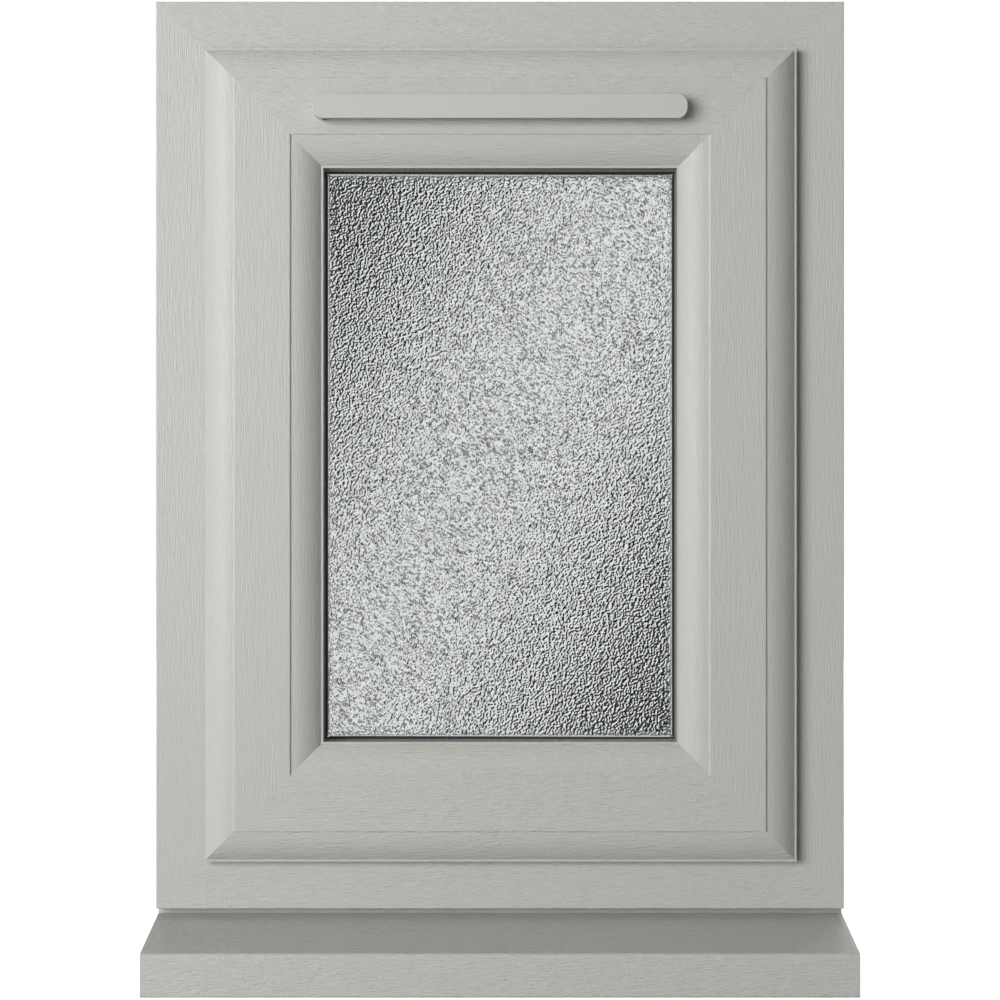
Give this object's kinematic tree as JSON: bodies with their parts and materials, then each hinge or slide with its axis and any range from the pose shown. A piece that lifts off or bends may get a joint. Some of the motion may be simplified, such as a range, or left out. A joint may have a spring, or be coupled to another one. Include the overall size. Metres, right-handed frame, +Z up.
{
  "type": "top-hung casement window",
  "caption": "Small outward-opening top-hung plastic window with sculptured sash, obscure sealed glass, trickle vent and projecting sill.",
  "frame": {"origin": "middle of the width, in the plane of the outer frame's outside face, on the underside of the sill", "axes": "+X to the right seen from outside, +Y into the building, +Z up"},
  "size_m": [0.48, 0.185, 0.6795],
  "materials": {
    "foil_upright": "woodgrain-embossed foil, grain upright",
    "foil_level": "woodgrain-embossed foil, grain level",
    "sill_cap_plastic": "smooth moulded",
    "vent_plastic": "smooth moulded",
    "patterned_glass": "rolled pattern, obscure",
    "clear_glass": "float glass",
    "spacer_metal": "satin",
    "edge_sealant": "matt",
    "gasket_rubber": "satin",
    "seal_rubber": "matt",
    "packer_plastic": "moulded",
    "handle_finish": "powder coat, satin",
    "key_metal": "polished",
    "hardware_steel": "passivated"
  },
  "bodies": {
    "root": {"bead_bottom": "foil_level", "bead_left": "foil_upright", "bead_right": "foil_upright", "bead_top": "foil_level", "frame_bottom_rail": "foil_level", "frame_head": "foil_level", "frame_jamb_left": "foil_upright", "frame_jamb_right": "foil_upright", "frame_seal": "seal_rubber", "glass_edge_seal": "edge_sealant", "glass_inner_pane": "clear_glass", "glass_outer_pane": "patterned_glass", "glass_packer_left": "packer_plastic", "glass_packer_right": "packer_plastic", "glass_spacer": "spacer_metal", "glazing_gasket_inner": "gasket_rubber", "glazing_gasket_outer": "gasket_rubber", "handle_base": "handle_finish", "handle_key_barrel": "key_metal", "handle_lever": "handle_finish", "lock_faceplate": "hardware_steel", "lock_keep_left": "hardware_steel", "lock_keep_right": "hardware_steel", "sash_bottom_rail": "foil_level", "sash_seal": "seal_rubber", "sash_stile_left": "foil_upright", "sash_stile_right": "foil_upright", "sash_top_rail": "foil_level", "sill": "foil_level", "sill_end_cap_left": "sill_cap_plastic", "sill_end_cap_right": "sill_cap_plastic", "stay_long_arm_left": "hardware_steel", "stay_long_arm_right": "hardware_steel", "stay_sash_plate_left": "hardware_steel", "stay_sash_plate_right": "hardware_steel", "stay_short_arm_left": "hardware_steel", "stay_short_arm_right": "hardware_steel", "stay_track_left": "hardware_steel", "stay_track_right": "hardware_steel", "vent_canopy": "vent_plastic", "vent_inner_body": "vent_plastic", "vent_slider": "vent_plastic"}
  },
  "joints": []
}
